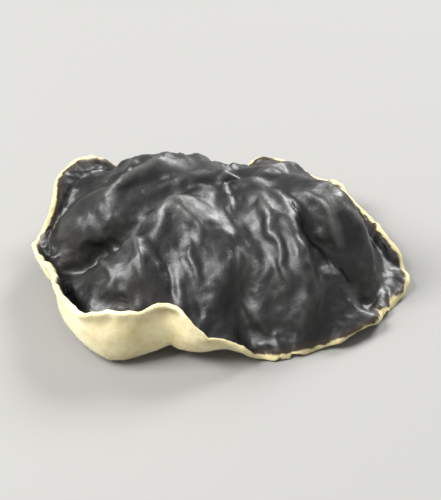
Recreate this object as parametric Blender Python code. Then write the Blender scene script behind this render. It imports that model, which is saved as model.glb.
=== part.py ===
"""One dried wood ear mushroom, as a single closed solid.

The fruiting body is one thin sheet that fans out from the foot it grew on. It is drawn as sections running out
from that foot, lofted all the way round, then pleated, waved and given its thickness. It lies crown up on the
three or four places where its edge and its gutters touch the table, and these are worn flat.
Metres, +Z up, X along the long side, origin on the table under the middle of the box around it.
"""

import math

import bmesh
import bpy
import numpy as np
from mathutils import Matrix

MM = 0.001

# Driving dimensions, in millimetres
SHEET_THICKNESS = 1.5
EDGE_THICKNESS = 0.8
RIM_BULGE = 0.4  # how far the rounded edge stands out past the sheet's own edge
FOOT_POLE = (-3.0, 8.0, 18.0)  # the crown above the foot, where all sections start
FOOT_HEIGHT = 3.6  # trimmed stub on the pale back, below the crown
FOOT_RADIUS = 3.4
SHEET_REACH = 36.0  # mean length of the sheet from foot to edge
TABLE_WEAR = 0.35  # depth worn off flat where the sheet touches the table
GRID_STEPS = 46  # squares across the sheet

# Turn that brings the lowest points level, in degrees about X and then about Y
SET_DOWN_TILT = (-1.69, 1.32)

# One section every 20 degrees, counter-clockwise from +X: (distance from the foot, height) of five rings, the
# last of which is the sheet's edge. Where the last height rises again the edge is turned up and shows its back.
SECTION_RINGS = (
    ((9.0, 18.0), (17.5, 15.5), (22.0, 10.0), (25.0, 4.5), (28.5, 6.5)),  # 0: right
    ((8.0, 18.0), (14.5, 15.0), (18.5, 10.0), (21.5, 5.5), (25.0, 6.8)),
    ((7.0, 17.5), (12.0, 14.0), (16.0, 9.5), (19.0, 6.0), (22.5, 7.5)),
    ((6.0, 17.0), (10.0, 14.0), (13.5, 9.5), (16.0, 6.5), (19.0, 8.0)),
    ((5.0, 17.0), (8.5, 13.5), (11.5, 8.0), (13.5, 4.5), (15.5, 4.5)),  # 80: far
    ((5.0, 16.5), (8.5, 12.5), (11.5, 6.5), (14.0, 2.5), (16.5, 1.5)),
    ((6.0, 16.0), (10.5, 12.0), (14.5, 6.0), (17.5, 2.0), (20.5, 2.0)),
    ((7.0, 16.0), (12.0, 13.0), (17.0, 8.5), (20.5, 6.0), (23.5, 8.5)),
    ((8.0, 16.0), (14.0, 14.5), (20.0, 11.0), (24.5, 8.5), (27.0, 10.5)),
    ((9.0, 17.0), (17.0, 15.5), (23.5, 12.0), (27.5, 5.0), (29.5, 5.5)),  # 180: left
    ((9.0, 17.0), (18.0, 14.5), (24.5, 9.5), (29.0, 3.2), (32.3, 6.0)),
    ((9.0, 16.5), (18.0, 13.0), (25.0, 7.0), (30.5, 1.5), (34.2, 7.6)),
    ((9.0, 16.0), (18.0, 12.5), (26.0, 5.5), (32.5, 0.0), (35.0, 9.8)),
    ((9.0, 16.0), (18.0, 12.5), (26.0, 5.5), (31.5, 0.0), (33.5, 8.8)),
    ((9.0, 16.5), (17.5, 14.0), (24.0, 8.5), (29.0, 2.5), (32.0, 2.5)),  # 280: near
    ((9.0, 17.0), (17.5, 15.5), (24.5, 11.0), (28.5, 4.5), (29.5, 0.5)),
    ((9.0, 17.5), (18.5, 16.5), (25.5, 12.0), (30.0, 5.5), (34.0, 1.5)),
    ((9.0, 17.5), (18.5, 17.0), (26.0, 12.5), (31.0, 4.5), (36.5, 3.5)),
)

# Pleats, as seen from above: start and end (x, y), half width, height, and sideways lean as a share of the
# height, all in mm from the same origin as the foot. A negative height is a furrow.
PLEATS = (
    ((-8.0, 13.0), (-22.0, 1.0), 1.8, 2.6, -0.5),
    ((-27.0, 8.5), (-18.0, 9.5), 1.5, 1.9, 0.3),
    ((-4.0, -1.0), (-17.0, -8.0), 2.2, 2.6, -0.6),
    ((-17.0, -7.0), (-12.5, -17.0), 1.7, 2.3, 0.4),
    ((-9.5, -2.0), (-1.0, -8.0), 1.6, 1.6, 0.4),
    ((-4.5, -9.0), (-1.0, -15.0), 1.5, 1.8, 0.3),
    ((3.0, -15.0), (8.0, -21.0), 1.5, 1.8, 0.3),
    ((5.0, 2.0), (12.0, -18.0), 1.9, 3.9, 0.7),
    ((13.0, 0.0), (23.0, -9.0), 1.8, 3.1, 0.6),
    ((3.0, 6.0), (3.5, -5.0), 1.7, 1.9, 0.4),
    ((11.0, 8.0), (16.0, -3.0), 2.2, 1.6, 0.3),
    ((-23.0, -11.0), (-13.0, -12.5), 1.4, 1.5, 0.3),
    ((-25.0, -14.5), (-14.0, -16.5), 1.4, 1.4, -0.3),
    ((-24.0, -11.0), (-15.0, -12.0), 4.0, 2.0, 0.0),
    ((10.0, 3.0), (24.0, -6.0), 4.6, 1.8, 0.3),
    ((-29.0, 10.0), (-12.0, 8.0), 1.7, -2.7, 0.0),
    ((-30.0, -2.5), (-13.0, -5.5), 1.8, -4.0, 0.0),
    ((-20.0, -3.0), (-7.0, 4.0), 1.8, -2.2, 0.0),
    ((12.0, -6.0), (26.0, -11.0), 2.2, -2.4, 0.0),
    ((0.0, -13.0), (4.0, -21.0), 1.7, -2.0, 0.0),
    ((-5.0, 13.0), (-8.0, 25.0), 1.8, 2.0, 0.4),
    ((-12.0, 12.5), (-19.0, 18.5), 1.9, 2.2, 0.4),
    ((7.0, 12.0), (11.5, 18.0), 1.8, 2.0, -0.4),
)
PLEAT_SHARPNESS = 1.6

# Ruffles of the edge: waves round the edge, phase in degrees, and height in mm
EDGE_RUFFLES = ((7, 40, 0.8), (11, 200, 0.7), (17, 95, 0.45))

# Lobes of the edge: lobes round the edge, phase in degrees, and how far they reach, as a share of the sheet's
EDGE_LOBES = ((5, 20, 0.030), (9, 140, 0.026), (14, 300, 0.016))

# Slow waves that take the drawn look out of the sections: wavelength in mm, amplitude in mm, seed
WARPS = ((26.0, 1.3, 3), (13.0, 0.55, 8))
WAVES_IN_A_WARP = 4

# How many times the form, the pleated sheet and the direction it faces are evened out
FORM_PASSES = 5
PLEAT_PASSES = 1
FACING_PASSES = 4


def clear_scene():
    for obj in list(bpy.data.objects):
        bpy.data.objects.remove(obj)


def ease(low, high, value):
    """0 below low, 1 above high, and a smooth step between them."""
    share = np.clip((value - low) / (high - low), 0.0, 1.0)
    return share * share * (3.0 - 2.0 * share)


def catmull_rom(before, start, end, after, share):
    """A smooth curve through start and end, with the points on either side giving its direction."""
    linear = (end - before) * share
    square = (2.0 * before - 5.0 * start + 4.0 * end - after) * share**2
    cube = (3.0 * start - before - 3.0 * end + after) * share**3
    return 0.5 * (2.0 * start + linear + square + cube)


def between_sections(values, azimuth):
    """One value per section, read at any azimuth by a closed spline."""
    count = len(values)
    at = (azimuth / (2.0 * math.pi) * count) % count
    section = np.floor(at).astype(int)
    around = [values[(section + step) % count] for step in (-1, 0, 1, 2)]
    return catmull_rom(*around, at - section)


def lofted(share_out, azimuth):
    """(distance from the foot, height) of each point of the sheet, in mm."""
    table = np.array(SECTION_RINGS)
    rings = table.shape[1]
    found = []
    for part in (0, 1):
        opposite = between_sections(table[:, 0, part], azimuth + math.pi)
        centre = np.full_like(azimuth, (0.0, FOOT_POLE[2])[part])
        column = [opposite if part else -opposite, centre]
        column += [between_sections(table[:, ring, part], azimuth) for ring in range(rings)]
        column.append(2.0 * column[-1] - column[-2])
        column = np.array(column)
        at = np.clip(share_out * rings, 0.0, rings - 1e-9)
        ring = np.floor(at).astype(int)
        points = np.arange(len(azimuth))
        around = [column[ring + step, points] for step in range(4)]
        found.append(catmull_rom(*around, at - ring))
    return found


def warp(points, wavelength, amplitude, seed):
    """A few plane waves in fixed random directions, as a displacement of every point."""
    random = np.random.default_rng(seed)
    moved = np.zeros_like(points)
    for _ in range(WAVES_IN_A_WARP):
        direction = random.normal(size=3)
        direction /= np.linalg.norm(direction)
        push = random.normal(size=3)
        phase = random.uniform(0.0, 2.0 * math.pi)
        moved += push * np.sin(2.0 * math.pi / wavelength * (points @ direction) + phase)[:, None]
    return moved * amplitude / math.sqrt(WAVES_IN_A_WARP)


def pleat_heights(points):
    """How far the pleats lift each point of the sheet, and how far they carry it sideways, in mm."""
    lift = np.zeros(len(points))
    slide = np.zeros((len(points), 3))
    for start, end, half_width, height, lean in PLEATS:
        start, end = np.array(start), np.array(end)
        length = np.linalg.norm(end - start)
        ahead = (end - start) / length
        left = np.array((-ahead[1], ahead[0]))
        from_start = points[:, :2] - start
        along = from_start @ ahead / length
        taper = ease(-0.1, 0.25, along) * (1.0 - ease(0.75, 1.1, along))
        profile = np.exp(-(np.abs(from_start @ left / half_width) ** PLEAT_SHARPNESS))
        pleat = height * taper * profile
        lift += pleat
        slide[:, :2] += (pleat * lean)[:, None] * left
    return lift, slide


def edge_waves(waves, share_out, azimuth):
    """The sum of some waves round the edge, which die away towards the foot."""
    total = sum(height * np.sin(count * azimuth + math.radians(phase)) for count, phase, height in waves)
    return total * ease(0.55, 1.0, share_out)


def sheet_grid(steps):
    """A square grid pressed into a disc: share of the way out, azimuth, and the index of each grid point."""
    line = np.linspace(-1.0, 1.0, steps + 1)
    across, along = np.meshgrid(line, line, indexing="ij")
    # Halfway between bowing the sides out and drawing the corners in, so that no corner is pinched
    drawn_in = np.maximum(abs(across), abs(along)) / np.maximum(np.hypot(across, along), 1e-9)
    x = (across * (np.sqrt(1.0 - along**2 / 2.0) + drawn_in) / 2.0).ravel()
    y = (along * (np.sqrt(1.0 - across**2 / 2.0) + drawn_in) / 2.0).ravel()
    index = np.arange((steps + 1) ** 2).reshape(steps + 1, steps + 1)
    return np.minimum(np.hypot(x, y), 1.0), np.arctan2(y, x) % (2.0 * math.pi), index


def grid_quads(index):
    return np.stack([index[:-1, :-1], index[1:, :-1], index[1:, 1:], index[:-1, 1:]], -1).reshape(-1, 4)


def grid_edge(index):
    """The grid's outer points in order, counter-clockwise."""
    return np.concatenate([index[:-1, 0], index[-1, :-1], index[:0:-1, -1], index[0, :0:-1]])


def point_normals(points, quads):
    first = points[quads[:, 2]] - points[quads[:, 0]]
    second = points[quads[:, 3]] - points[quads[:, 1]]
    facing = np.cross(first, second)
    normals = np.zeros_like(points)
    for corner in range(4):
        np.add.at(normals, quads[:, corner], facing)
    return normals / np.linalg.norm(normals, axis=1, keepdims=True)


def relaxed(points, index, passes):
    """Evens out the sheet: every point moves halfway to the middle of its neighbours."""
    edge = grid_edge(index)
    for _ in range(passes):
        grid = points[index]
        eased = points.copy()
        across = grid[:-2, 1:-1] + grid[2:, 1:-1]
        along = grid[1:-1, :-2] + grid[1:-1, 2:]
        eased[index[1:-1, 1:-1]] = (across + along) / 4.0
        eased[edge] = (points[np.roll(edge, 1)] + points[np.roll(edge, -1)]) / 2.0
        points = (points + eased) / 2.0
    return points


def middle_sheet(share_out, azimuth, quads, index):
    """The sheet halfway through its thickness, in mm."""
    out, height = lofted(share_out, azimuth)
    out = out * (1.0 + edge_waves(EDGE_LOBES, share_out, azimuth))
    points = np.stack(
        [FOOT_POLE[0] + out * np.cos(azimuth), FOOT_POLE[1] + out * np.sin(azimuth), height], 1
    )
    for wavelength, amplitude, seed in WARPS:
        points = points + warp(points, wavelength, amplitude, seed) * (1.0, 1.0, 0.5)
    points = relaxed(points, index, FORM_PASSES)
    lift, slide = pleat_heights(points)
    lift = lift + edge_waves(EDGE_RUFFLES, share_out, azimuth)
    points = points + point_normals(points, quads) * lift[:, None] + slide
    return relaxed(points, index, PLEAT_PASSES)


def foot_bulge(share_out):
    """Extra depth of the back under the crown, cut off flat where the foot was trimmed."""
    rise = FOOT_HEIGHT * 1.35 * np.exp(-((share_out * SHEET_REACH / FOOT_RADIUS) ** 2))
    return np.minimum(rise, FOOT_HEIGHT)


def closed_body():
    """Vertices in mm and faces of the whole body: dark skin, pale back, and a rounded edge between them."""
    share_out, azimuth, index = sheet_grid(GRID_STEPS)
    quads = grid_quads(index)
    middle = middle_sheet(share_out, azimuth, quads, index)
    normals = relaxed(point_normals(middle, quads), index, FACING_PASSES)
    normals /= np.linalg.norm(normals, axis=1, keepdims=True)
    half = (SHEET_THICKNESS + (EDGE_THICKNESS - SHEET_THICKNESS) * ease(0.2, 1.0, share_out)) / 2.0
    skin = middle + normals * half[:, None]
    back = middle - normals * (half + foot_bulge(share_out))[:, None]

    edge = grid_edge(index)
    along = middle[np.roll(edge, -1)] - middle[np.roll(edge, 1)]
    outward = np.cross(along, normals[edge])
    outward /= np.linalg.norm(outward, axis=1, keepdims=True)
    rim = middle[edge] + outward * RIM_BULGE

    count = len(middle)
    points = np.concatenate([skin, back, rim])
    following = np.roll(edge, -1)
    rim_index = 2 * count + np.arange(len(edge))
    rim_following = np.roll(rim_index, -1)
    upper_band = np.stack([following, edge, rim_index, rim_following], 1)
    lower_band = np.stack([rim_following, rim_index, edge + count, following + count], 1)
    faces = np.concatenate([quads, quads[:, ::-1] + count, upper_band, lower_band])
    return points, faces


def wear_flat(mesh, height):
    """Cuts off what lies below height and closes the cuts, which leaves small flat faces to stand on."""
    geometry = mesh.verts[:] + mesh.edges[:] + mesh.faces[:]
    cut = bmesh.ops.bisect_plane(
        mesh, geom=geometry, dist=1e-7, plane_co=(0, 0, height), plane_no=(0, 0, -1), clear_outer=True
    )
    loops = [item for item in cut["geom_cut"] if isinstance(item, bmesh.types.BMEdge)]
    bmesh.ops.contextual_create(mesh, geom=loops)


def wood_ear():
    points, faces = closed_body()
    mesh = bmesh.new()
    verts = [mesh.verts.new(point) for point in points * MM]
    for face in faces:
        mesh.faces.new([verts[corner] for corner in face])

    turn = Matrix.Rotation(math.radians(SET_DOWN_TILT[1]), 4, "Y")
    turn = turn @ Matrix.Rotation(math.radians(SET_DOWN_TILT[0]), 4, "X")
    bmesh.ops.transform(mesh, matrix=turn, verts=mesh.verts)
    wear_flat(mesh, min(vert.co.z for vert in mesh.verts) + TABLE_WEAR * MM)
    bmesh.ops.triangulate(mesh, faces=mesh.faces)

    places = np.array([vert.co for vert in mesh.verts])
    low, high = places.min(axis=0), places.max(axis=0)
    middle = (low + high) / 2.0
    bmesh.ops.translate(mesh, vec=(-middle[0], -middle[1], -low[2]), verts=mesh.verts)

    data = bpy.data.meshes.new("wood_ear")
    mesh.to_mesh(data)
    mesh.free()
    data.shade_smooth()
    body = bpy.data.objects.new("wood_ear", data)
    bpy.context.scene.collection.objects.link(body)
    return body


def dried_fungus():
    """Dried gelatinous flesh: near black, with the low sheen of old leather."""
    material = bpy.data.materials.new("dried_fungus")
    material.use_nodes = True
    shader = material.node_tree.nodes["Principled BSDF"]
    shader.inputs["Base Color"].default_value = (0.026, 0.024, 0.025, 1.0)
    shader.inputs["Roughness"].default_value = 0.45
    shader.inputs["Metallic"].default_value = 0.0
    return material


def main():
    clear_scene()
    body = wood_ear()
    body.data.materials.append(dried_fungus())


main()
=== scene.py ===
"""The looks of one dried wood ear mushroom, lying crown up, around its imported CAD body.

The solid's upper skin is lifted off, left to pucker as the flesh does when it dries, and thickened again
into one closed sheet: a near-black, satin upper skin and a pale, velvety back that wraps round the edge.
Short separate hairs stand on the back.
"""

import math

import bpy
import numpy as np
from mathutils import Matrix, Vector, noise
from mathutils.bvhtree import BVHTree


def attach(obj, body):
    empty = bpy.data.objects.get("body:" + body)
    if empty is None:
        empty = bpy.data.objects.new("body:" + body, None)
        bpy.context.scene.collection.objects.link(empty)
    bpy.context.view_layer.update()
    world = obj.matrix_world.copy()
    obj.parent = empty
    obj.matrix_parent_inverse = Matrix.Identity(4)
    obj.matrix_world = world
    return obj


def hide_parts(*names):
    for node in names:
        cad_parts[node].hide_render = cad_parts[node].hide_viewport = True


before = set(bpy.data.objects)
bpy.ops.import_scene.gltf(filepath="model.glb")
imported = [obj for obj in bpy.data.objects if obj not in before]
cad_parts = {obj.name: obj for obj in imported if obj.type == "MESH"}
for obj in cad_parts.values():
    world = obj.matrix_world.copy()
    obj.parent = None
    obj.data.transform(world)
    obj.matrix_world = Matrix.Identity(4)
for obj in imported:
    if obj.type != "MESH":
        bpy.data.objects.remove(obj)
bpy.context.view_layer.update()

MM = 0.001

# ---------------------------------------------------------------- helpers


def deselect_all():
    if bpy.context.object and bpy.context.object.mode != "OBJECT":
        bpy.ops.object.mode_set(mode="OBJECT")
    bpy.ops.object.select_all(action="DESELECT")


def take(piece):
    """Makes one object the only selected and the active one."""
    deselect_all()
    piece.select_set(True)
    bpy.context.view_layer.objects.active = piece


def finish_with(piece, kind, **settings):
    """Adds a modifier, sets it and applies it."""
    take(piece)
    modifier = piece.modifiers.new(kind.lower(), kind)
    for name, value in settings.items():
        setattr(modifier, name, value)
    bpy.ops.object.modifier_apply(modifier=modifier.name)


def read_floats(items, field, width):
    values = np.empty(len(items) * width)
    items.foreach_get(field, values)
    return values.reshape(-1, width) if width > 1 else values


def points_of(piece):
    return read_floats(piece.data.vertices, "co", 3)


def normals_of(piece):
    return read_floats(piece.data.vertices, "normal", 3)


def move_points(piece, points):
    piece.data.vertices.foreach_set("co", np.ascontiguousarray(points).ravel())
    piece.data.update()


def edges_of(piece):
    pairs = np.empty(len(piece.data.edges) * 2, dtype=int)
    piece.data.edges.foreach_get("vertices", pairs)
    return pairs.reshape(-1, 2)


def spread(piece, values, passes, share=0.5):
    """Evens values over the mesh: each point takes up its neighbours' mean, a share at a time."""
    pairs = edges_of(piece)
    count = np.bincount(pairs.ravel(), minlength=len(values)).astype(float)
    for _ in range(passes):
        total = np.zeros_like(values)
        np.add.at(total, pairs[:, 0], values[pairs[:, 1]])
        np.add.at(total, pairs[:, 1], values[pairs[:, 0]])
        mean = total / (count[:, None] if values.ndim > 1 else count)
        values = values + (mean - values) * share
    return values


def ease(low, high, value):
    share = np.clip((value - low) / (high - low), 0.0, 1.0)
    return share * share * (3.0 - 2.0 * share)


def write_layer(piece, name, values):
    """Keeps one value per point on the mesh, for its material to read."""
    layer = piece.data.attributes.get(name) or piece.data.attributes.new(name, "FLOAT", "POINT")
    layer.data.foreach_set("value", np.ascontiguousarray(values, dtype=np.float32))


def read_layer(piece, name):
    values = np.empty(len(piece.data.vertices), dtype=np.float32)
    piece.data.attributes[name].data.foreach_get("value", values)
    return values.astype(float)


def unit(vectors):
    return vectors / np.linalg.norm(vectors, axis=1, keepdims=True)


def weigh(piece, name, weights):
    group = piece.vertex_groups.new(name=name)
    for index, weight in enumerate(weights):
        group.add([index], float(weight), "REPLACE")
    return group.name


# ---------------------------------------------------------------- materials


def linear(colour):
    """An sRGB hex colour as linear RGBA."""
    parts = [int(colour[start : start + 2], 16) / 255.0 for start in (1, 3, 5)]
    return tuple(((p + 0.055) / 1.055) ** 2.4 if p > 0.04045 else p / 12.92 for p in parts) + (1.0,)


def add(material, kind, inputs=None, stops=None, **settings):
    """Adds a node to a material, with its settings, its inputs' values or links, and its colour stops."""
    tree = material.node_tree
    made = tree.nodes.new("ShaderNode" + kind)
    for name, value in settings.items():
        setattr(made, name, value)
    for socket, value in (inputs or {}).items():
        if isinstance(value, bpy.types.NodeSocket):
            tree.links.new(value, made.inputs[socket])
        else:
            made.inputs[socket].default_value = value
    if stops:
        ramp = made.color_ramp
        while len(ramp.elements) < len(stops):
            ramp.elements.new(0.5)
        for element, (place, colour) in zip(ramp.elements, stops):
            element.position = place
            element.color = linear(colour)
    return made


def new_material(name):
    material = bpy.data.materials.new(name)
    material.use_nodes = True
    return material, material.node_tree.nodes["Principled BSDF"]


def plug(material, source, shader, socket):
    material.node_tree.links.new(source, shader.inputs[socket])


# How fine each pattern is, in waves to the metre: 95 is one to about 10.5 mm
CLOUDS = 95.0
LIP_NICKS = 420.0
WEAR = 300.0
SKIN_GRAIN = 1400.0
SKIN_CREASES = 520.0
MOTTLE = 190.0
NAP = 2600.0


def tanned_round_foot(material, pale, tan):
    """The pale colour, turning to tan within 14 mm of where the flesh was attached."""
    foot = add(material, "Attribute", attribute_name="from_foot")
    near = add(
        material, "MapRange", {"Value": foot.outputs["Fac"], "From Min": 14.0, "From Max": 3.0, "To Max": 0.9}
    )
    return add(material, "Mix", {0: near.outputs[0], 6: pale, 7: linear(tan)}, data_type="RGBA").outputs[2]


def dried_skin():
    """Gelatinous flesh dried to a hard, leathery film: near black with a broad satin sheen.

    Its edge is a pale lip, where the velvety back wraps round a little unevenly.
    """
    material, shader = new_material("dried_gelatinous_skin")
    place = add(material, "TexCoord").outputs["Object"]
    cloud = add(material, "TexNoise", {"Vector": place, "Scale": CLOUDS, "Detail": 4.0, "Roughness": 0.55})
    tone = add(
        material, "ValToRGB", {"Fac": cloud.outputs["Fac"]},
        stops=((0.30, "#0b0b0b"), (0.47, "#131312"), (0.60, "#1d1d1b"), (0.76, "#282420")),
    )
    # Painted highlight: the raised ridges are painted a lighter grey, partly for the sheen that light puts on
    # them and partly for dusty bloom.
    ridge = add(material, "Attribute", attribute_name="ridge")
    high = add(
        material, "MapRange",
        {"Value": ridge.outputs["Fac"], "From Min": 0.03, "From Max": 0.35, "To Max": 0.8},
    )
    ridge_highlight_and_bloom = add(
        material, "Mix", {0: high.outputs[0], 6: tone.outputs["Color"], 7: linear("#4b4a48")},
        data_type="RGBA",
    )
    uneven = add(material, "TexNoise", {"Vector": place, "Scale": LIP_NICKS, "Detail": 4.0})
    rim = add(material, "Attribute", attribute_name="from_rim")
    nearness = add(
        material, "Math", {0: uneven.outputs["Fac"], 1: 1.6, 2: rim.outputs["Fac"]}, operation="MULTIPLY_ADD"
    )
    lip = add(material, "MapRange", {"Value": nearness.outputs[0], "From Min": 1.55, "From Max": 1.25})
    brown = add(material, "MapRange", {"Value": nearness.outputs[0], "From Min": 2.8, "From Max": 1.4})
    warm = add(
        material, "Mix", {0: brown.outputs[0], 6: ridge_highlight_and_bloom.outputs[2], 7: linear("#3a2c20")}, data_type="RGBA"
    )
    edge = add(
        material, "Mix", {0: lip.outputs[0], 6: warm.outputs[2], 7: linear("#cfc292")}, data_type="RGBA"
    )
    plug(material, edge.outputs[2], shader, "Base Color")
    worn = add(material, "TexNoise", {"Vector": place, "Scale": WEAR, "Detail": 6.0, "Roughness": 0.65})
    rough = add(
        material, "MapRange",
        {"Value": worn.outputs["Fac"], "From Min": 0.3, "From Max": 0.7, "To Min": 0.30, "To Max": 0.56},
    )
    matt = add(material, "Mix", {0: lip.outputs[0], 2: rough.outputs[0], 3: 0.9}, data_type="FLOAT")
    plug(material, matt.outputs[0], shader, "Roughness")
    grain = add(material, "TexNoise", {"Vector": place, "Scale": SKIN_GRAIN, "Detail": 4.0, "Roughness": 0.6})
    fine = add(material, "Bump", {"Height": grain.outputs["Fac"], "Strength": 0.45, "Distance": 0.0001})
    crease = add(
        material, "TexNoise",
        {"Vector": place, "Scale": SKIN_CREASES, "Detail": 5.0, "Roughness": 0.6, "Distortion": 0.6},
        noise_type="RIDGED_MULTIFRACTAL",
    )
    bump = add(
        material, "Bump",
        {"Height": crease.outputs["Fac"], "Normal": fine.outputs[0], "Strength": 0.35, "Distance": 0.00016},
    )
    plug(material, bump.outputs[0], shader, "Normal")
    shader.inputs["IOR"].default_value = 1.5
    return material


def dried_felt():
    """The same flesh's underside, covered in very short pale hairs: matt, with a soft light edge."""
    material, shader = new_material("dried_velvety_back")
    place = add(material, "TexCoord").outputs["Object"]
    mottle = add(material, "TexNoise", {"Vector": place, "Scale": MOTTLE, "Detail": 5.0, "Roughness": 0.6})
    tone = add(
        material, "ValToRGB", {"Fac": mottle.outputs["Fac"]},
        stops=((0.28, "#b9a674"), (0.45, "#d3c595"), (0.6, "#e0d5ab"), (0.78, "#ebe3c3")),
    )
    # Painted shade: the pale back is painted a darker tan in its creases, where shade falls.
    ridge = add(material, "Attribute", attribute_name="ridge")
    low = add(material, "MapRange", {"Value": ridge.outputs["Fac"], "From Min": 0.0, "From Max": -0.15})
    painted_crease_shade = add(
        material, "Mix", {0: low.outputs[0], 6: tone.outputs["Color"], 7: linear("#a08858")}, data_type="RGBA"
    )
    plug(material, tanned_round_foot(material, painted_crease_shade.outputs[2], "#86693f"), shader, "Base Color")
    shader.inputs["Roughness"].default_value = 0.9
    shader.inputs["Sheen Weight"].default_value = 0.3
    shader.inputs["Sheen Roughness"].default_value = 0.5
    nap = add(material, "TexNoise", {"Vector": place, "Scale": NAP, "Detail": 4.0, "Roughness": 0.7})
    bump = add(material, "Bump", {"Height": nap.outputs["Fac"], "Strength": 0.5, "Distance": 0.00012})
    plug(material, bump.outputs[0], shader, "Normal")
    return material


def pale_down():
    """Single short hairs that stand off the back: pale and dull, tanned round the foot."""
    material, shader = new_material("dried_pale_down")
    plug(material, tanned_round_foot(material, linear("#e6dcb6"), "#8f7247"), shader, "Base Color")
    shader.inputs["Roughness"].default_value = 0.85
    return material


# ---------------------------------------------------------------- the upper skin

SKIN_TURN = math.radians(44)  # the flesh's own folds turn less than this from face to face, and its edge more
WORN_FLAT = 0.02 * MM  # the small flats it stands on lie below this
SLIVER = 0.25 * MM  # points closer than this round the worn flats become one
WELD = 0.01 * MM  # points closer than this are the same corner of the solid
EDGE_PASSES = 4  # how often the nicks in the free edge are evened

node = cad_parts["wood_ear"]
ear = bpy.data.objects.new("dried_ear", node.data.copy())
ear.data.materials.clear()
ear.data.materials.append(dried_skin())
ear.data.materials.append(dried_felt())
bpy.context.scene.collection.objects.link(ear)
take(ear)
bpy.ops.object.mode_set(mode="EDIT")
bpy.ops.mesh.select_all(action="SELECT")
bpy.ops.mesh.remove_doubles(threshold=WELD)
bpy.ops.mesh.tris_convert_to_quads(face_threshold=math.pi, shape_threshold=math.pi)
bpy.ops.mesh.select_all(action="DESELECT")
bpy.ops.object.mode_set(mode="OBJECT")
crown = max(ear.data.polygons, key=lambda face: face.center.z)
crown.select = True
for face in ear.data.polygons:
    face.hide = all(ear.data.vertices[corner].co.z < WORN_FLAT for corner in face.vertices)
bpy.ops.object.mode_set(mode="EDIT")
bpy.ops.mesh.select_mode(type="FACE")
bpy.ops.mesh.faces_select_linked_flat(sharpness=SKIN_TURN)
bpy.ops.mesh.reveal(select=False)
bpy.ops.mesh.select_all(action="INVERT")
bpy.ops.mesh.delete(type="FACE")
bpy.ops.mesh.select_all(action="SELECT")
bpy.ops.mesh.remove_doubles(threshold=SLIVER)
bpy.ops.uv.unwrap(method="ANGLE_BASED", margin=0.02)
bpy.ops.object.mode_set(mode="OBJECT")
finish_with(ear, "SUBSURF", levels=1, render_levels=1, boundary_smooth="ALL")


def edge_points(piece):
    """The points on the sheet's free edge."""
    used = {}
    for face in piece.data.polygons:
        for key in face.edge_keys:
            used[key] = used.get(key, 0) + 1
    return sorted({point for key, count in used.items() if count == 1 for point in key})


MOST_STEPS = 400  # more edges than lie between any two points of the sheet
FAR = 1.0  # metres: further than any point lies from another


def distance_over(piece, sources):
    """How far each point is from the nearest source, in metres, measured along the sheet."""
    points = points_of(piece)
    pairs = edges_of(piece)
    lengths = np.linalg.norm(points[pairs[:, 0]] - points[pairs[:, 1]], axis=1)
    distance = np.full(len(points), FAR)
    distance[list(sources)] = 0.0
    for _ in range(MOST_STEPS):
        before = distance.copy()
        np.minimum.at(distance, pairs[:, 0], before[pairs[:, 1]] + lengths)
        np.minimum.at(distance, pairs[:, 1], before[pairs[:, 0]] + lengths)
        if np.array_equal(before, distance):
            break
    return distance


def evened_edge(piece, rim, passes):
    """Takes the nicks out of the free edge: each of its points moves halfway between those beside it."""
    points = points_of(piece)
    on_rim = np.zeros(len(points), dtype=bool)
    on_rim[rim] = True
    used = np.zeros(len(piece.data.edges), dtype=int)
    lookup = {edge.key: edge.index for edge in piece.data.edges}
    for face in piece.data.polygons:
        for key in face.edge_keys:
            used[lookup[key]] += 1
    pairs = edges_of(piece)[used == 1]
    for _ in range(passes):
        total = np.zeros_like(points)
        np.add.at(total, pairs[:, 0], points[pairs[:, 1]])
        np.add.at(total, pairs[:, 1], points[pairs[:, 0]])
        points[on_rim] = (points[on_rim] + total[on_rim] / 2.0) / 2.0
    return points


FOOT_PLACE = Vector((-0.0010, 0.0076, 0.0))  # where the body's foot stands under its crown

rim = edge_points(ear)
move_points(ear, evened_edge(ear, rim, EDGE_PASSES))
points = points_of(ear)
foot_point = int(np.argmin(np.hypot(points[:, 0] - FOOT_PLACE.x, points[:, 1] - FOOT_PLACE.y)))
from_rim = spread(ear, distance_over(ear, rim), 2)
from_foot = spread(ear, distance_over(ear, [foot_point]), 4)
outward = from_foot / (from_foot + from_rim)
write_layer(ear, "from_rim", from_rim / MM)
write_layer(ear, "from_foot", from_foot / MM)

# ---------------------------------------------------------------- drying

DRY_SCALE = 10.0  # the solver works best on a sheet tens of centimetres across
DRY_FRAMES = 25
DRY_SPREAD = 0.07  # how much wider the outer flesh is than the room it has to dry in
DRY_REACH = 4.5 * MM  # the furthest a point may pucker
DRY_STIFFNESS = 0.6  # how much the flesh resists bending
DRY_HOLD = 0.1  # how firmly it is held in place at the foot, and less so towards the edge


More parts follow.
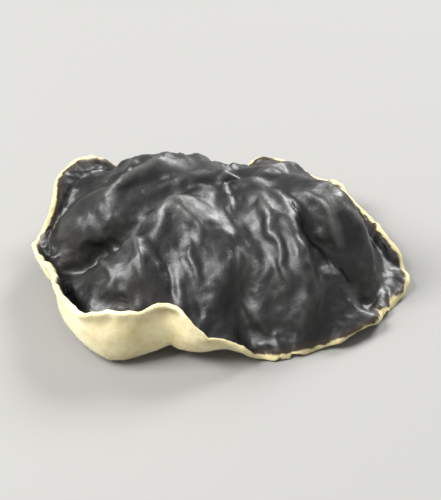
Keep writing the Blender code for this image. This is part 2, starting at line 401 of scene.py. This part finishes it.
def pucker(piece, spread_by, stiffness, hold, frames):
    """Lets the sheet grow a little in its own plane while it is held in place, so that it buckles."""
    before = points_of(piece)
    move_points(piece, before * DRY_SCALE)
    group = weigh(piece, "hold", hold)
    cloth = piece.modifiers.new("drying", "CLOTH")
    flesh = cloth.settings
    flesh.quality = 6
    flesh.mass = 0.3
    flesh.tension_stiffness = 30
    flesh.compression_stiffness = 30
    flesh.shear_stiffness = 15
    flesh.bending_stiffness = stiffness
    flesh.tension_damping = 5
    flesh.compression_damping = 5
    flesh.shear_damping = 5
    flesh.bending_damping = 0.5
    flesh.air_damping = 3
    flesh.shrink_min = -spread_by
    flesh.vertex_group_mass = group
    flesh.pin_stiffness = 1.0
    flesh.effector_weights.gravity = 0
    cloth.collision_settings.use_collision = False
    cloth.collision_settings.use_self_collision = False
    cloth.point_cache.frame_start = 1
    cloth.point_cache.frame_end = frames
    for frame_number in range(1, frames + 1):
        bpy.context.scene.frame_set(frame_number)
    puckered = piece.evaluated_get(bpy.context.evaluated_depsgraph_get())
    after = read_floats(puckered.data.vertices, "co", 3) / DRY_SCALE
    piece.modifiers.clear()
    piece.vertex_groups.clear()
    bpy.context.scene.frame_set(1)
    moved = after - before
    length = np.maximum(np.linalg.norm(moved, axis=1, keepdims=True), 1e-9)
    return before + moved * np.tanh(length / DRY_REACH) * DRY_REACH / length


held = DRY_HOLD * (1.0 - 0.6 * ease(0.3, 1.0, outward))
move_points(ear, pucker(ear, DRY_SPREAD, DRY_STIFFNESS, held, DRY_FRAMES))

# ---------------------------------------------------------------- folds and wrinkles

finish_with(ear, "SUBSURF", levels=1, render_levels=1, boundary_smooth="ALL")


def folded_noise(places, size, seed):
    """Sharp ridges in rounded valleys, about one ridge to each size of length, from -1 to 1."""
    shift = Vector((seed * 7.3, seed * 3.1, seed * 5.7))
    values = np.array(
        [noise.ridged_multi_fractal(Vector(place) / size + shift, 1.0, 2.1, 3, 1.0, 1.6) for place in places]
    )
    values -= values.mean()
    return values / abs(values).max()


def wavy_noise(places, size, seed):
    """Soft waves, about one to each size of length, from about -1 to 1."""
    shift = Vector((seed * 4.7, seed * 9.1, seed * 2.3))
    return np.array([noise.fractal(Vector(place) / size + shift, 1.0, 2.0, 3) for place in places])


# Sharp folds that dried into the skin, as seen from above, in mm: start, end, half width, height, and how
# far the fold bows to its left. A negative height is a crease that sank in.
FOLDS = (
    ((-9.0, 12.0), (-22.5, 2.0), 1.0, 1.3, 1.0),
    ((-12.0, 14.5), (-25.0, 9.0), 0.8, 0.8, -0.8),
    ((-5.0, -1.0), (-17.0, -7.5), 1.0, 1.2, -0.8),
    ((-17.5, -6.5), (-13.0, -16.0), 0.8, 1.0, 0.6),
    ((-22.0, -8.0), (-19.0, -15.0), 0.7, 0.7, 0.4),
    ((-26.0, -8.0), (-23.5, -15.5), 0.7, 0.6, -0.4),
    ((-9.0, -3.0), (-2.0, -8.5), 0.8, 0.9, 0.7),
    ((-6.0, -8.0), (-2.5, -16.0), 0.7, 0.8, -0.6),
    ((5.0, 1.0), (11.5, -17.0), 0.9, 1.3, 1.2),
    ((9.5, 1.5), (16.5, -12.5), 0.7, 0.6, 0.9),
    ((13.5, 1.0), (23.0, -8.5), 0.9, 1.1, 0.9),
    ((17.0, 4.0), (26.0, -3.5), 0.7, 0.6, 0.8),
    ((0.5, 9.0), (3.0, -5.0), 0.8, 0.9, -0.8),
    ((3.0, -14.0), (8.0, -21.0), 0.7, 0.7, 0.0),
    ((-29.0, -3.0), (-12.5, -5.5), 1.0, -1.3, 1.0),
    ((-19.0, 3.0), (-8.0, 6.5), 0.8, -0.9, -0.6),
    ((13.0, -6.5), (26.0, -11.0), 1.0, -1.0, 0.6),
    ((-11.0, -9.5), (-8.5, -18.0), 0.8, -0.8, 0.5),
    ((-6.0, 14.0), (-9.0, 23.0), 0.8, 0.8, 0.5),
    ((6.0, 13.0), (10.5, 19.5), 0.8, 0.8, -0.5),
    ((14.0, 9.0), (21.0, 12.0), 0.7, 0.7, 0.4),
)
FOLD_WIGGLE = 1.1  # how far a fold strays from its line, in mm
FOLD_ROUNDING = 0.3  # radius of a fold's crest, in mm


def fold_heights(places, folds):
    """How far the sharp folds lift each point, in mm."""
    stray = np.stack([wavy_noise(places, 5.0, 11), wavy_noise(places, 5.0, 12)], 1) * FOLD_WIGGLE
    ground = places[:, :2] + stray
    lift = np.zeros(len(places))
    for start, end, half_width, height, bow in folds:
        start, end = np.array(start), np.array(end)
        length = np.linalg.norm(end - start)
        ahead = (end - start) / length
        left = np.array((-ahead[1], ahead[0]))
        along = (ground - start) @ ahead / length
        aside = (ground - start) @ left - bow * 4.0 * along * (1.0 - along)
        taper = ease(-0.15, 0.3, along) * (1.0 - ease(0.65, 1.15, along))
        aside = np.hypot(aside, FOLD_ROUNDING) - FOLD_ROUNDING
        lift += height * taper * np.exp(-aside / half_width)
    return lift


FAN_DRUM = 14.0  # mm: wrinkles are as wide as their noise at this distance from the foot
FAN_STRETCH = 0.35  # they run out from the foot, about three times as long as they are wide


def fan_places(places, foot_distance):
    """The points on a drum round the foot, in mm, so that a pattern on it fans out from the foot."""
    aside = places[:, :2] - np.array(FOOT_PLACE)[:2] / MM
    angle = np.arctan2(aside[:, 1], aside[:, 0])
    return np.stack([FAN_DRUM * np.cos(angle), FAN_DRUM * np.sin(angle), foot_distance * FAN_STRETCH], 1)


# Where the edge turns up further, so that its pale lip shows: degrees round the foot, half width, reach in mm
FLARES = ((335.0, 22.0, 0.6),)

# Widths and heights of the smaller relief, in mm
WRINKLE_WIDTH, WRINKLE_HEIGHT = 5.5, 0.60
CRUMPLE_WIDTH, CRUMPLE_HEIGHT = 6.0, 0.18
PUCKER_WIDTH, PUCKER_HEIGHT = 1.8, 0.08
FRILL_REACH = 0.6  # how far the edge turns out all round
FRILL_WIDTH, FRILL_HEIGHT = 4.0, 1.1  # the waves along it
FRILL_BAND = 4.0  # how far in from the edge they reach

places = points_of(ear) / MM
from_rim = read_layer(ear, "from_rim")
from_foot = read_layer(ear, "from_foot")
outward = from_foot / (from_foot + from_rim)
fan = fan_places(places, from_foot)
wrinkle = folded_noise(fan, WRINKLE_WIDTH, 3) * WRINKLE_HEIGHT * ease(0.1, 0.6, outward)
crumple = folded_noise(places, CRUMPLE_WIDTH, 5) * CRUMPLE_HEIGHT
azimuth = np.degrees(np.arctan2(fan[:, 1], fan[:, 0]))
flare = sum(
    reach * np.exp(-(((azimuth - middle + 180.0) % 360.0 - 180.0) / half_width) ** 2)
    for middle, half_width, reach in FLARES
)
waves = wavy_noise(fan, FRILL_WIDTH, 8) * FRILL_HEIGHT
frill = (FRILL_REACH + flare + waves) * (1.0 - ease(0.0, FRILL_BAND, from_rim))
fine = folded_noise(places, PUCKER_WIDTH, 9) * PUCKER_HEIGHT
relief = fold_heights(places, FOLDS) + wrinkle + crumple + fine

# ---------------------------------------------------------------- thickness

FLESH = 1.35  # mm
# Thickness along the sheet as a share of the flesh: a rounded lip, a little thicker than what lies behind it
LIP = ((0.0, 0.30), (0.35, 0.62), (0.8, 0.66), (1.8, 0.55), (8.0, 1.0))
FOOT_HEIGHT = 2.6  # mm: the cut stub on the back where it grew on its log
FOOT_RADIUS = 3.4
BACK_CLEARANCE = 0.35  # mm: the back is kept this far below the skin, less in tight folds and near the edge
SWELL_THROUGH = 0.4  # share of the skin's raised folds that shows through on the back
SIGHT_START = 0.02  # mm below the skin, where the search for a fold's other flank begins
SIGHT_REACH = 2.2  # how far it looks, as a share of the depth
FREE_SHARE = 0.45  # the part of the way to the other flank that the back may take up
UNTANGLE_ROUNDS = 12
PINCH_PASSES = 14

flesh = FLESH * np.interp(from_rim, [step[0] for step in LIP], [step[1] for step in LIP])


def free_depths(piece, places, directions, depths):
    """Depths below the skin, cut back to less than half the way where a fold's other flank is in the way."""
    skin = BVHTree.FromPolygons(places.tolist(), [list(face.vertices) for face in piece.data.polygons])
    found = depths.copy()
    for index, (place, direction) in enumerate(zip(places, directions)):
        start = Vector(place) + Vector(direction) * SIGHT_START
        hit = skin.ray_cast(start, Vector(direction), float(depths[index]) * SIGHT_REACH)
        if hit[0] is not None:
            found[index] = min(depths[index], FREE_SHARE * hit[3])
    return found


def crossing(places, faces):
    """The points of every face that cuts through another face it doesn't touch."""
    tree = BVHTree.FromPolygons(places.tolist(), faces)
    found = set()
    for one, other in tree.overlap(tree):
        if one < other and not set(faces[one]) & set(faces[other]):
            found.update(faces[one])
            found.update(faces[other])
    return sorted(found)


def untangled(piece, places, rounds):
    """Eases the surface flat round wherever it cuts through itself, until it no longer does."""
    faces = [list(face.vertices) for face in piece.data.polygons]
    for _ in range(rounds):
        crossed = crossing(places, faces)
        if not crossed:
            break
        near = np.zeros(len(places))
        near[crossed] = 1.0
        near = np.clip(spread(piece, near, 8) * 4.0, 0.0, 1.0)
        places = places + (spread(piece, places, 6) - places) * near[:, None]
    return places


def clear_of_skin(piece, places, inner, least):
    """The inner points moved to where each is at least its own least depth below the nearest skin."""
    skin = BVHTree.FromPolygons(places.tolist(), [list(face.vertices) for face in piece.data.polygons])
    moved = inner.copy()
    for index, (place, depth) in enumerate(zip(inner, least)):
        nearest, normal, _, _ = skin.find_nearest(Vector(place))
        height = (Vector(place) - nearest).dot(normal)
        if height > -depth:
            moved[index] = nearest - normal * depth
    return moved


facing = unit(spread(ear, normals_of(ear), 3))
inner_facing = unit(spread(ear, facing, 10))
level_facing = facing * (1.0, 1.0, 0.0) + np.maximum(facing, 0.0) * (0.0, 0.0, 1.0)
outline = places + level_facing * frill[:, None]
skin_places = untangled(ear, outline + facing * relief[:, None], UNTANGLE_ROUNDS)
sunken = spread(ear, np.minimum(relief, 0.0), 4)
raised = spread(ear, np.maximum(relief, 0.0), 8)
stub = FOOT_HEIGHT * np.exp(-((from_foot / FOOT_RADIUS) ** 4)) * (1.0 + 0.25 * wavy_noise(places, 1.6, 6))
off_edge = ease(0.5, 2.5, from_rim)[:, None]
behind_lip = ease(0.3, 1.5, from_rim)
wanted = outline - inner_facing * (flesh - sunken - SWELL_THROUGH * raised)[:, None]
wanted = wanted + (spread(ear, wanted, 6) - wanted) * off_edge
below = wanted - skin_places
depths = np.linalg.norm(below, axis=1)
below = below / depths[:, None]
free = free_depths(ear, skin_places, below, depths)
free = np.minimum(free, spread(ear, free, 3))
felt_grain = wavy_noise(places, 1.1, 4) * 0.05 * behind_lip
back_places = skin_places + below * (free + felt_grain)[:, None]
least = np.minimum(0.6 * free, BACK_CLEARANCE) * behind_lip
for _ in range(2):
    eased = back_places + (spread(ear, back_places, 1) - back_places) * off_edge
    back_places = clear_of_skin(ear, skin_places, eased, least)
smooth_share = ease(0.4, 1.5, from_rim)[:, None]
back_places = back_places + (spread(ear, back_places, 3) - back_places) * smooth_share
back_places = back_places - inner_facing * stub[:, None]

move_points(ear, skin_places * MM)
finish_with(
    ear, "SOLIDIFY", thickness=FLESH * MM, offset=-1.0, use_rim=True,
    material_offset=1, material_offset_rim=1,
)

# Pinched places near the edge that are eased flat: middle and radius, in mm
PINCHES = ((-9.5, -22.5, 1.5, 2.2), (-8.2, 25.4, 1.0, 2.4), (19.2, 16.6, 3.0, 2.6))


def eased_pinches(piece, places, pinches, passes):
    """Evens the surface round each pinched place, most at its middle."""
    for x, y, z, radius in pinches:
        distance = np.linalg.norm(places - (x, y, z), axis=1)
        share = np.exp(-((distance / radius) ** 4))[:, None]
        places = places + (spread(piece, places, passes) - places) * share
    return places


both = eased_pinches(ear, np.concatenate([skin_places, back_places]), PINCHES, PINCH_PASSES)
both = untangled(ear, both, UNTANGLE_ROUNDS)

THIRDS_START = -70.0  # degrees: the thirds are the right, the far left and the near left
SETTLE_ROUNDS = 4


def settled(places, rounds):
    """Lets the piece down on the lowest point of each third of its outline, turning it by a degree or so."""
    third = (np.degrees(np.arctan2(places[:, 1], places[:, 0])) - THIRDS_START) % 360.0 // 120.0
    for _ in range(rounds):
        feet = []
        for side in range(3):
            those = places[third == side]
            feet.append(those[np.argmin(those[:, 2])])
        feet = np.array(feet)
        slope = np.linalg.solve(np.column_stack([feet[:, :2], np.ones(3)]), feet[:, 2])
        places = places - np.column_stack([np.zeros((len(places), 2)), places[:, :2] @ slope[:2] + slope[2]])
    places[:, 2] -= places[:, 2].min()
    return places


both = settled(both, SETTLE_ROUNDS)
move_points(ear, both * MM)

# How far each point stands out from its neighbours: the skin's ridges are lightened by it with painted
# highlight, and the back's creases are darkened by it with painted shade.
bulge = spread(ear, both, 6) - both
ridge = -np.einsum("ij,ij->i", bulge, normals_of(ear))
write_layer(ear, "ridge", spread(ear, ridge, 1))
take(ear)
bpy.ops.object.shade_smooth()

# ---------------------------------------------------------------- down

HAIRS = 48000  # drawn sparser and coarser than the real nap, which is too fine to see
HAIR_LENGTH = 0.32  # mm
HAIR_RADIUS = 0.016  # mm, at the root
HAIR_LEAN = 0.55  # how far hairs stray from standing straight up
HAIR_ROOT = 0.03  # depth of the root below the surface, in mm
HAIR_SEED = 5


def downy_hairs(piece, count, seed):
    """Short tapered hairs strewn evenly over the pale back, as one mesh of closed three-sided spikes."""
    random = np.random.default_rng(seed)
    corners = np.array([face.vertices[:] for face in piece.data.polygons if face.material_index == 1])
    quads = points_of(piece)[corners] / MM
    facing = np.cross(quads[:, 2] - quads[:, 0], quads[:, 3] - quads[:, 1])
    area = np.linalg.norm(facing, axis=1)
    pick = random.choice(len(quads), count, p=area / area.sum())
    across, along = random.random((2, count, 1))
    quads = quads[pick]
    near_side = quads[:, 0] * (1.0 - across) + quads[:, 1] * across
    far_side = quads[:, 3] * (1.0 - across) + quads[:, 2] * across
    root = near_side * (1.0 - along) + far_side * along
    up = unit(facing[pick])
    direction = unit(up + HAIR_LEAN * random.normal(size=(count, 3)))
    length = HAIR_LENGTH * random.uniform(0.5, 1.2, (count, 1))
    side = unit(np.cross(direction, random.normal(size=(count, 3))))
    third = np.cross(direction, side)
    root = root - up * HAIR_ROOT
    ring = [
        root + HAIR_RADIUS * (side * math.cos(turn) + third * math.sin(turn))
        for turn in (0.0, math.radians(120), math.radians(240))
    ]
    points = np.stack(ring + [root + direction * length], 1).reshape(-1, 3)
    shape = np.array([[0, 1, 3], [1, 2, 3], [2, 0, 3], [2, 1, 0]])
    faces = (shape[None] + 4 * np.arange(count)[:, None, None]).reshape(-1, 3)
    data = bpy.data.meshes.new("dried_ear_down")
    data.from_pydata((points * MM).tolist(), [], faces.tolist())
    data.materials.append(pale_down())
    hairs = bpy.data.objects.new("dried_ear_down", data)
    bpy.context.scene.collection.objects.link(hairs)
    foot = read_layer(piece, "from_foot")[corners[pick][:, 0]]
    write_layer(hairs, "from_foot", np.repeat(foot, 4))
    return hairs


hairs = downy_hairs(ear, HAIRS, HAIR_SEED)
hair_points = points_of(hairs)
hair_points[:, 2] = np.maximum(hair_points[:, 2], 0.0)  # hairs under the piece are pressed flat on the floor
move_points(hairs, hair_points)
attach(hairs, "root")
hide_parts("wood_ear")

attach(ear, "root")
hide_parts("wood_ear")

# ---------------------------------------------------------------- setting

bpy.context.scene.view_settings.view_transform = "Standard"


def studio_paper():
    """Pale, matt backdrop paper."""
    material, shader = new_material("pale_backdrop_paper")
    shader.inputs["Base Color"].default_value = linear("#8c8b88")
    shader.inputs["Roughness"].default_value = 0.8
    return material


deselect_all()
bpy.ops.mesh.primitive_plane_add(size=6.0, location=(0.0, 0.0, 0.0))
floor = bpy.context.object
floor.name = "floor"
floor.data.materials.append(studio_paper())

world = bpy.data.worlds.new("studio")
bpy.context.scene.world = world
world.use_nodes = True
world.node_tree.nodes["Background"].inputs["Color"].default_value = linear("#f4f6f8")
world.node_tree.nodes["Background"].inputs["Strength"].default_value = 0.55


def soft_light(name, place, size, power):
    lamp = bpy.data.lights.new(name, "AREA")
    lamp.size = size
    lamp.energy = power
    holder = bpy.data.objects.new(name, lamp)
    holder.location = place
    holder.rotation_euler = (Vector((0.0, 0.0, 0.01)) - Vector(place)).to_track_quat("-Z", "Y").to_euler()
    bpy.context.scene.collection.objects.link(holder)


WINDOW_SIZE = 0.36
WINDOW_POWER = 8.5

soft_light("window_left", (-0.42, -0.12, 0.50), WINDOW_SIZE, WINDOW_POWER)
soft_light("window_back", (0.35, 0.50, 0.45), WINDOW_SIZE, WINDOW_POWER)

# The camera looks down on the piece at the slope of a table seen from a chair
VIEW_SLOPE = math.radians(36)
VIEW_DISTANCE = 0.56
VIEW_WIDTH = 0.080  # of what the camera takes in, at the piece
SENSOR_WIDTH = 36.0

middle = Vector((0.0, -0.001, 0.0075))
direction = Vector((0.0, -math.cos(VIEW_SLOPE), math.sin(VIEW_SLOPE)))
camera = bpy.data.cameras.new("camera")
camera.sensor_fit = "HORIZONTAL"
camera.sensor_width = SENSOR_WIDTH
camera.lens = SENSOR_WIDTH * VIEW_DISTANCE / VIEW_WIDTH
holder = bpy.data.objects.new("camera", camera)
holder.location = middle + direction * VIEW_DISTANCE
holder.rotation_euler = (-direction).to_track_quat("-Z", "Y").to_euler()
bpy.context.scene.collection.objects.link(holder)
bpy.context.scene.camera = holder
